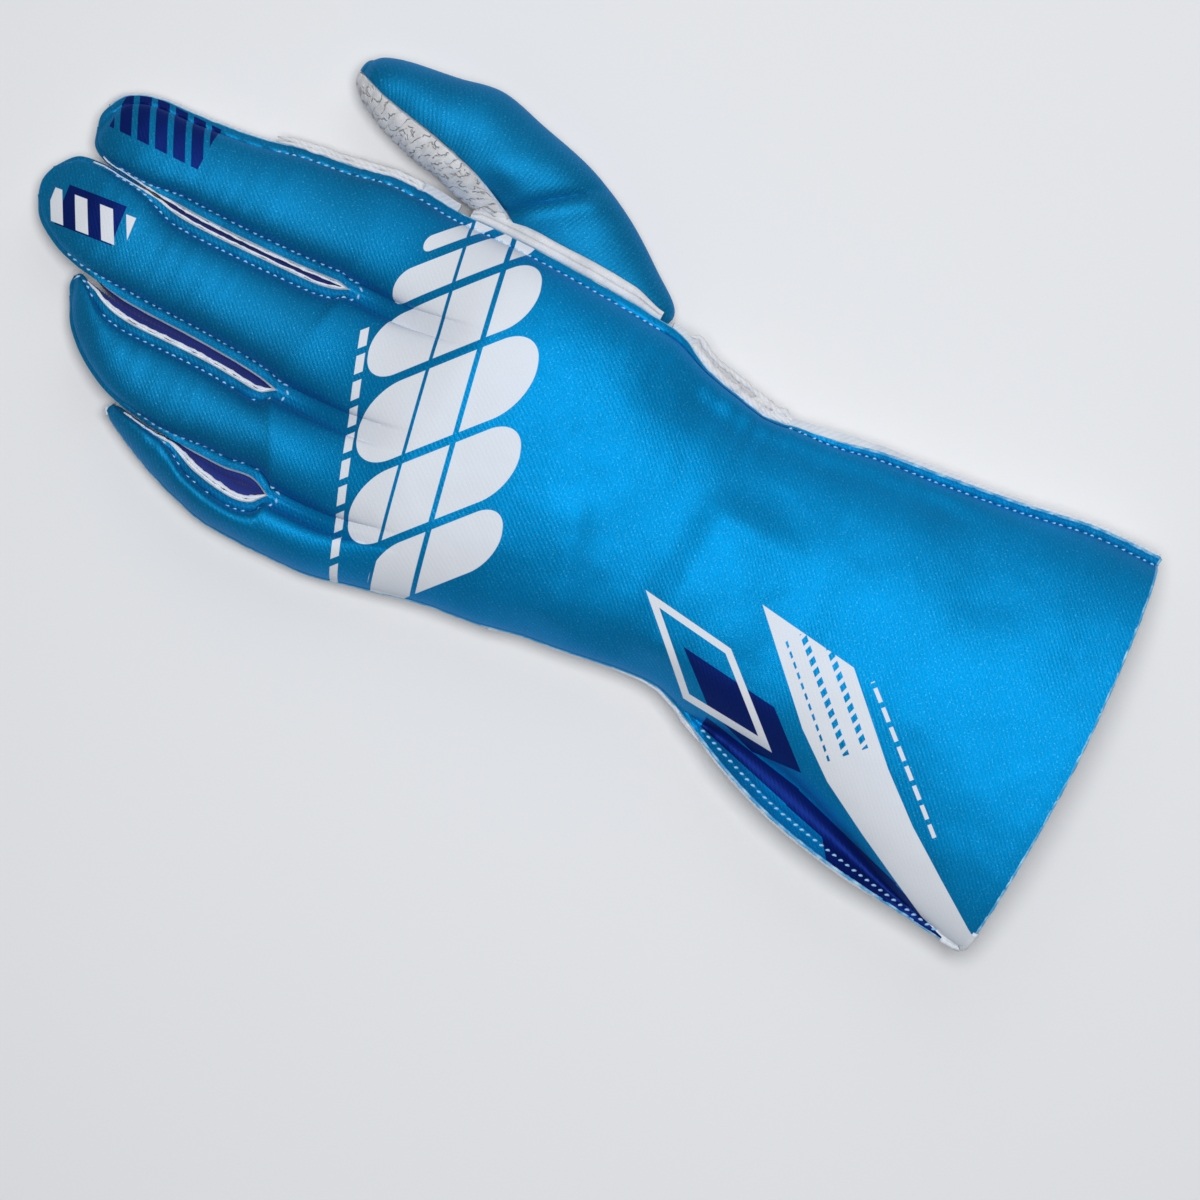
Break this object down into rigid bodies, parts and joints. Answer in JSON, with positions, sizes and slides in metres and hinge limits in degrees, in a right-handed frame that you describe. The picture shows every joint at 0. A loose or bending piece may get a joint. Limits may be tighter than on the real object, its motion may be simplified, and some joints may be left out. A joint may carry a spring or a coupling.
{
  "type": "karting glove",
  "caption": "Long gauntlet karting glove for the left hand with outside seams, lying palm down, hollow for hand, fingers and thumb.",
  "frame": {"origin": "centre of the glove's box, on the floor it lies on", "axes": "+Y from the cuff to the fingertips, +X to the thumb's side, +Z out of the back of the hand"},
  "size_m": [0.1426, 0.3137, 0.0413],
  "materials": {
    "blue_twill": "fine diagonal twill stretch fabric, matt with a slight sheen",
    "white_palm": "soft white palm fabric, embossed on the thumb",
    "navy_side_wall": "matt stretch fabric",
    "white_welt": "folded white fabric"
  },
  "bodies": {
    "root": {"back_panel": "blue_twill", "palm_panel": "white_palm", "fourchette_index_middle": "navy_side_wall", "fourchette_middle_ring": "navy_side_wall", "fourchette_ring_pinky": "navy_side_wall", "thumb_back": "blue_twill", "thumb_palm": "white_palm", "radial_welt": "white_welt"}
  },
  "joints": []
}
